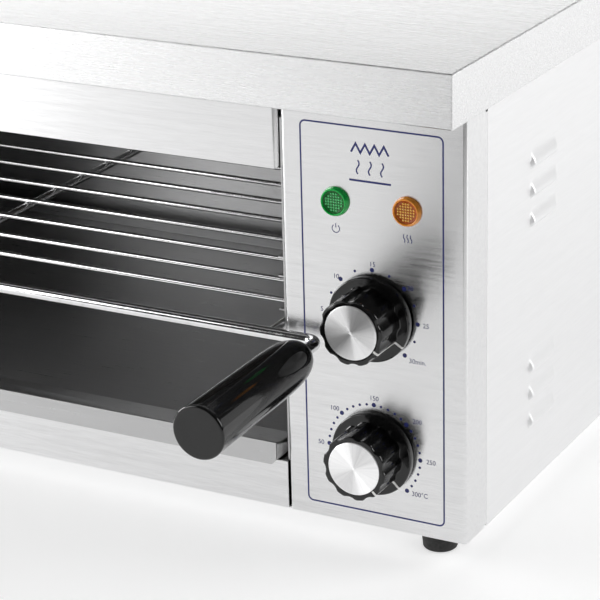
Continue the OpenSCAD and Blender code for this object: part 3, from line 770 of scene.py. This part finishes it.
class Print:
    """Flat ink shapes on the panel's plane; x and z in metres, in the model's frame."""

    def __init__(self):
        self.parts = []

    def outline(self, points, width, closed=False):
        """A line of even width through the points."""
        points = [Vector(p) for p in points]
        count = len(points)
        rows = []
        for i, point in enumerate(points):
            before = points[i - 1] if i or closed else point
            after = points[(i + 1) % count] if i + 1 < count or closed else point
            ways = [w.normalized() for w in (point - before, after - point) if w.length > 0]
            way = sum(ways, Vector((0, 0))).normalized()
            normal = Vector((-way.y, way.x))
            reach = width / 2 / max(0.5, normal.dot(Vector((-ways[0].y, ways[0].x))))
            left, right = point + normal * reach, point - normal * reach
            rows.append([Vector((left.x, FRONT - INK_T, left.y)),
                         Vector((right.x, FRONT - INK_T, right.y)),
                         Vector((right.x, FRONT + INK_T, right.y)),
                         Vector((left.x, FRONT + INK_T, left.y))])
        if closed:
            self.parts.append(loft(rows + [rows[0]], False, False))
        else:
            self.parts.append(loft(rows))

    def dot(self, x, z, radius):
        """A round dot."""
        sides = 28
        rings = []
        for y in (FRONT - INK_T, FRONT + INK_T):
            rings.append([Vector((x + radius * math.cos(2 * math.pi * i / sides), y,
                                  z + radius * math.sin(2 * math.pi * i / sides)))
                          for i in range(sides)])
        self.parts.append(loft(rings))

    def word(self, text, x, z, height):
        """A number or a unit, centred on a point."""
        curve = bpy.data.curves.new("numeral", "FONT")
        curve.body = text
        curve.size = height / CAP_SHARE
        curve.align_x = "CENTER"
        curve.align_y = "CENTER"
        curve.extrude = INK_T
        letters = bpy.data.objects.new("numeral", curve)
        bpy.context.scene.collection.objects.link(letters)
        bpy.context.view_layer.update()
        mesh = bpy.data.meshes.new_from_object(letters)
        upright = Matrix.Translation((x, FRONT, z)) @ Matrix.Rotation(math.radians(90), 4, "X")
        part = [v.co.copy() for v in mesh.vertices], [tuple(p.vertices) for p in mesh.polygons]
        self.parts.append(moved(part, upright))
        bpy.data.objects.remove(letters)
        bpy.data.curves.remove(curve)
        bpy.data.meshes.remove(mesh)

    def finish(self, name):
        """Makes one piece of all the shapes."""
        verts, faces = join(self.parts)
        mesh_piece(name, verts, faces, MATERIALS["ink"], "casing", "brushed_front")


def wave_points(x, start, end, swing, steps):
    """One period of a wave that runs up or down."""
    return [(x + swing * math.sin(2 * math.pi * i / steps), start + (end - start) * i / steps)
            for i in range(steps + 1)]


def circle_points(x, z, radius, start, end, steps):
    """Points on an arc; angles in degrees clockwise from the top."""
    points = []
    for i in range(steps + 1):
        a = math.radians(start + (end - start) * i / steps)
        points.append((x + radius * math.sin(a), z + radius * math.cos(a)))
    return points


def print_border():
    """Frame line round the controls, with rounded corners."""
    left, right = PANEL_HIGH.x - 94.8 * MM, PANEL_HIGH.x - 13 * MM
    low, high = PANEL_LOW.z + 8.2 * MM, PANEL_LOW.z + 224.9 * MM
    corner = 3 * MM
    points = []
    for x, z, start in ((right - corner, high - corner, 0), (right - corner, low + corner, 90),
                        (left + corner, low + corner, 180), (left + corner, high - corner, 270)):
        points += circle_points(x, z, corner, start, start + 90, 8)
    border = Print()
    border.outline(points, BORDER_W, True)
    border.finish("print_border")


def print_scale(name, centre, ring_r, numbers, unit, between, number_reach):
    """Dots round a knob, with a number outside each large dot and small dots between."""
    scale = Print()
    first, step = -90, 45

    def ring_dot(angle, radius):
        a = math.radians(angle)
        scale.dot(centre.x + ring_r * math.sin(a), centre.z + ring_r * math.cos(a), radius)

    for i, (number, reach) in enumerate(zip(numbers, number_reach)):
        last = i + 1 == len(numbers)
        angle = first + step * i
        ring_dot(angle, LARGE_DOT_R)
        text = str(number) + (unit if last else "")
        scale.word(text, centre.x + reach[0] * MM, centre.z + reach[1] * MM, NUMERAL_H)
        if not last:
            for k in range(1, between + 1):
                ring_dot(angle + step * k / (between + 1), SMALL_DOT_R)
    scale.finish(name)


def below_lamp(node):
    """Place of the pictogram under a pilot lamp."""
    low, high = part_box(node)
    return (low.x + high.x) / 2, (low.z + high.z) / 2 - SYMBOL_DROP


def print_symbols():
    """Pictograms: power and heat below the lamps, and a grill seen from the side above them."""
    symbols = Print()
    x, z = below_lamp("power_lamp_lens")
    symbols.outline(circle_points(x, z, 2.2 * MM, 35, 325, 24), THIN_LINE)
    symbols.outline([(x, z + 0.6 * MM), (x, z + 2.9 * MM)], THIN_LINE)
    x, z = below_lamp("heat_lamp_lens")
    for shift in (-2, 0, 2):
        wave = wave_points(x + shift * MM, z - 2.2 * MM, z + 2.2 * MM, 0.45 * MM, 12)
        symbols.outline(wave, THIN_LINE)
    x, z = PANEL_HIGH.x - 54.5 * MM, PANEL_LOW.z + 206 * MM
    teeth, pitch = 8, 2.7 * MM
    coil = [(x + (i - teeth / 2) * pitch, z + (9.9 if i % 2 else 5.1) * MM) for i in range(teeth + 1)]
    symbols.outline(coil, BOLD_LINE)
    for shift in (-7, 0, 7):
        wave = wave_points(x + shift * MM, z + 1 * MM, z - 6.5 * MM, 0.8 * MM, 16)
        symbols.outline(wave, WAVE_LINE)
    symbols.outline([(x - 12 * MM, z - 10 * MM), (x + 12 * MM, z - 10 * MM)], BOLD_LINE)
    symbols.finish("print_symbols")


# ---------------------------------------------------------------- louvred side sheet
SHEET = 0.8 * MM
# heights of the louvres' middles over the casing's lower edge, and their ends behind its front, in mm
LOUVRE_ROWS = (191, 174.5, 158, 72.5, 56.6, 40.2)
LOUVRE_FROM, LOUVRE_TO = 83, 118
LOUVRE_HALF = 5
LOUVRE_OUT = 2.4
LOUVRE_LIP = 0.45
FRONT_END, REAR_END = 2.5, 7


def louvre_height(along, up):
    """Outward bulge in mm at a place in mm from the louvre's middle: open along its lower edge."""
    end = (LOUVRE_TO - LOUVRE_FROM) / 2 - abs(along)
    if end <= 0 or abs(up) >= LOUVRE_HALF + 1:
        return 0
    reach = FRONT_END if along < 0 else REAR_END
    round_end = math.sqrt(max(0, 1 - max(0, 1 - end / reach) ** 2))
    if up > -LOUVRE_HALF * (1 - LOUVRE_LIP):
        rise = (LOUVRE_HALF + 1 - up) / ((2 - LOUVRE_LIP) * LOUVRE_HALF + 1)
        rise = min(1, max(0, rise))
        lift = rise * rise * (3 - 2 * rise)
    else:
        fall = (up + LOUVRE_HALF) / (LOUVRE_LIP * LOUVRE_HALF)
        lift = min(1, max(0, fall)) ** 0.5
    return LOUVRE_OUT * lift * round_end


def axis_lines(low, high, zones, fine, coarse):
    """Grid lines from low to high, close together inside the zones."""
    lines = {low, high}
    edges = sorted([low, high] + [v for zone in zones for v in zone])
    for a, b in zip(edges, edges[1:]):
        inside = any(zone[0] <= (a + b) / 2 <= zone[1] for zone in zones)
        steps = max(1, round((b - a) / (fine if inside else coarse)))
        for i in range(steps + 1):
            lines.add(a + (b - a) * i / steps)
    return sorted(lines)


def build_side_sheet():
    """The right side of the casing as a thin sheet with pressed louvres."""
    base, top = PANEL_LOW.z / MM, PANEL_HIGH.z / MM
    front = FRONT / MM
    start, end = PANEL_HIGH.y + 0.1 * MM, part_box("right_side_cover")[1].y
    along = axis_lines(start / MM, end / MM,
                       [(front + LOUVRE_FROM - 1, front + LOUVRE_TO + 1)], 0.6, 40)
    up = axis_lines(base, top, [(base + row - 7, base + row + 7) for row in LOUVRE_ROWS], 0.5, 20)
    middle = front + (LOUVRE_FROM + LOUVRE_TO) / 2
    verts, faces = [], []
    for y in along:
        for z in up:
            lift = sum(louvre_height(y - middle, z - base - row) for row in LOUVRE_ROWS)
            verts.append(Vector((PANEL_HIGH.x + lift * MM, y * MM, z * MM)))
    rows, count = len(up), len(verts)
    verts += [v - Vector((SHEET, 0, 0)) for v in verts]
    for i in range(len(along) - 1):
        for j in range(rows - 1):
            a = i * rows + j
            faces.append((a, a + rows, a + rows + 1, a + 1))
            faces.append((count + a, count + a + 1, count + a + rows + 1, count + a + rows))
    border = [i * rows for i in range(len(along))]
    border += [(len(along) - 1) * rows + j for j in range(1, rows)]
    border += [i * rows + rows - 1 for i in reversed(range(len(along) - 1))]
    border += list(reversed(range(1, rows - 1)))
    for a, b in zip(border, border[1:] + border[:1]):
        faces.append((b, a, count + a, count + b))
    sheet = mesh_piece("right_side_sheet", verts, faces, MATERIALS["side"], "casing", "side_steel",
                       None, 50)
    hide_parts("right_side_cover")


# ---------------------------------------------------------------- small hardware
def screw_head(radius, height):
    """Pan head with a cross recess."""
    rings = []
    sides, levels = 48, 14
    for level in range(levels + 1):
        share = level / levels
        r = radius * (1 - share) + 0.05 * MM * share
        ring = []
        for i in range(sides):
            a = 2 * math.pi * i / sides
            x, y = r * math.cos(a), r * math.sin(a)
            crown = height * (1 - (r / radius) ** 4) ** 0.5
            near = min(abs(x), abs(y))
            far = max(abs(x), abs(y))
            cut = 0
            if far < 0.62 * radius and near < 0.16 * radius:
                cut = 0.75 * height * (1 - far / (0.9 * radius))
            ring.append(Vector((x, y, max(0, crown - cut))))
        rings.append(ring)
    return loft(rings)


def build_rear_screws():
    """Six pan-head screws that hold the rear panel."""
    low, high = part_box("casing_screws")
    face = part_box("rear_panel")[1].y
    heads = []
    radius = 3.6 * MM
    inner = [v.co.x for v in NODES["casing_screws"].data.vertices
             if low.x + 3 * radius < v.co.x < high.x - 3 * radius]
    for x in (low.x + radius, (min(inner) + max(inner)) / 2, high.x - radius):
        for z in (low.z + radius, high.z - radius):
            place = Matrix.Translation((x, face, z)) @ Matrix.Rotation(math.radians(-90), 4, "X")
            heads.append(moved(screw_head(radius, high.y - face), place))
            heads.append(moved(lathe([(2 * MM, -6 * MM), (2 * MM, 0)], 24), place))
    screws = mesh_piece("rear_screw_heads", *join(heads), MATERIALS["zinc"], "casing", "zinc",
                        None, 30)
    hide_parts("casing_screws")


def build_feet():
    """Rubber feet with a rounded sole, a shallow groove and a fillet under the casing."""
    for node in ("foot_front_left", "foot_front_right", "foot_rear_left", "foot_rear_right"):
        low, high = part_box(node)
        radius, height = (high.x - low.x) / 2, high.z - low.z
        place = Matrix.Translation(((low.x + high.x) / 2, (low.y + high.y) / 2, low.z))
        profile = [(radius - 6 * MM, 1 * MM), (radius - 5.4 * MM, 0), (radius - 3.4 * MM, 0)]
        profile += arc((radius - 3 * MM, 1.6 * MM), 1.6 * MM, -80, 0, 6)
        profile += [(radius - 0.5 * MM, height - 5 * MM), (radius - 0.7 * MM, height - 4.4 * MM),
                    (radius - 0.7 * MM, height - 3.8 * MM), (radius - 0.1 * MM, height - 3.2 * MM),
                    (radius, height - 2.6 * MM), (radius, height - 0.4 * MM),
                    (radius - 0.4 * MM, height), (2.4 * MM, height)]
        foot = mesh_piece(node + "_rubber", *lathe(profile, 64), MATERIALS["rubber"], "casing",
                          "rubber_black", place, 40)
        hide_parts(node)


LIP_CHAMFER = 3 * MM
END_PLATE_DEPTH = 22 * MM
END_PLATE_T = 0.8 * MM
APRON_SLOPE = 10.6 / 36.6


def build_tray_ends():
    """Face of the crumb tray's lip in steel whose level paints light and shade, and the plates that
    close the lip's two ends.
    """
    low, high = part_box("crumb_tray")
    middle, half = (low.x + high.x) / 2, (high.x - low.x) / 2 - 0.02 * MM
    top = high.z - 0.03 * MM
    outline = [(-half, top), (-half, low.z + LIP_CHAMFER), (LIP_CHAMFER - half, low.z),
               (half - LIP_CHAMFER, low.z), (half, low.z + LIP_CHAMFER), (half, top)]
    rings = [[Vector((middle + x, y, z)) for x, z in outline]
             for y in (low.y - 0.06 * MM, low.y + 0.1 * MM)]
    # The lip face's steel level paints the light and shade on the lip.
    mesh_piece("tray_lip_face", *loft(rings), MATERIALS["lip"], "tray", "tray_steel", None, 30)
    front = low.y + 1.02 * MM
    back = front + END_PLATE_DEPTH
    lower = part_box("front_rail")[1].z + 1.6 * MM
    upper = top - 1.1 * MM
    plate = [(front, lower), (front, upper), (back, upper - APRON_SLOPE * END_PLATE_DEPTH),
             (back, lower)]
    for side in (-1, 1):
        x = sorted((middle + side * (half - END_PLATE_T), middle + side * half))
        rings = [[Vector((px, py, pz)) for py, pz in plate] for px in x]
        name = "tray_end_left" if side < 0 else "tray_end_right"
        mesh_piece(name, *loft(rings), MATERIALS["end_plate"], "tray", "tray_steel", None, 30)


def bead(x, y, z, length, width, height):
    """One small weld bead, longer along the bar it lies on."""
    rings = []
    for share in (0, 0.12, 0.3, 0.5, 0.7, 0.88, 1):
        swell = math.sin(math.pi * (0.08 + 0.84 * share)) ** 0.6
        ring = []
        for i in range(14):
            a = 2 * math.pi * i / 14
            lump = 1 + 0.07 * math.sin(3 * a + 9 * share)
            ring.append(Vector((x + width / 2 * swell * lump * math.cos(a),
                                y + (share - 0.5) * length,
                                z + height / 2 * swell * lump * math.sin(a))))
        rings.append(ring)
    return loft(rings)


# in mm, more than one wire's own lines and less than the space between two wires
WIRE_GAP = 5


def build_welds():
    """Weld beads where the thin wires cross the centre bar and the side rods."""
    wire_low, wire_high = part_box("rack_wires")
    wire_r = (wire_high.z - wire_low.z) / 2
    middle_z = wire_high.z - wire_r
    beads = []
    wires = []
    for y in sorted({round(v.co.y / MM, 1) for v in NODES["rack_wires"].data.vertices}):
        if not wires or y - wires[-1][-1] > WIRE_GAP:
            wires.append([y])
        else:
            wires[-1].append(y)
    for node in ("rack_side_rod_left", "rack_centre_bar", "rack_side_rod_right"):
        low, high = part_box(node)
        x = (low.x + high.x) / 2
        for wire in wires:
            y = (wire[0] + wire[-1]) / 2 * MM
            beads.append(bead(x, y, middle_z - wire_r * 0.9, 4.6 * MM, 4 * MM, 2 * MM))
    mesh_piece("rack_weld_beads", *join(beads), MATERIALS["chrome"], "rack", "chrome_rod", None, 60)


# places of the scales' numbers from their knobs' axes, in mm to the right and up
TIMER_NUMBERS = ((-30, 0), (-21.2, 19.7), (0.3, 29.4), (22.1, 19.3), (31, -0.4), (26, -21.3))
THERMOSTAT_NUMBERS = ((-32.2, -0.1), (-23.6, 21.2), (0.2, 30.9), (25.6, 21.8), (33.5, -0.2),
                      (26.8, -20.5))


def build_controls():
    """Knobs, pilot lamps and everything that is printed on the control panel."""
    for name in ("timer", "thermostat"):
        build_knob(name)
    for node, colour in (("power_lamp_lens", "green"), ("heat_lamp_lens", "amber")):
        build_lamp(node, MATERIALS[colour], MATERIALS[colour + "_face"],
                   MATERIALS[colour + "_prism"], colour + "_lens")
    print_border()
    print_scale("print_timer", TIMER, 26.3 * MM, range(5, 35, 5), "min.", 1, TIMER_NUMBERS)
    print_scale("print_thermostat", THERMOSTAT, 27.2 * MM, range(50, 350, 50), "\u00b0C", 4,
                THERMOSTAT_NUMBERS)
    print_symbols()


add_camera()
add_studio()
dress_nodes()
build_controls()
build_handles()
build_welds()
build_tray_ends()
build_feet()
build_rear_screws()
build_side_sheet()
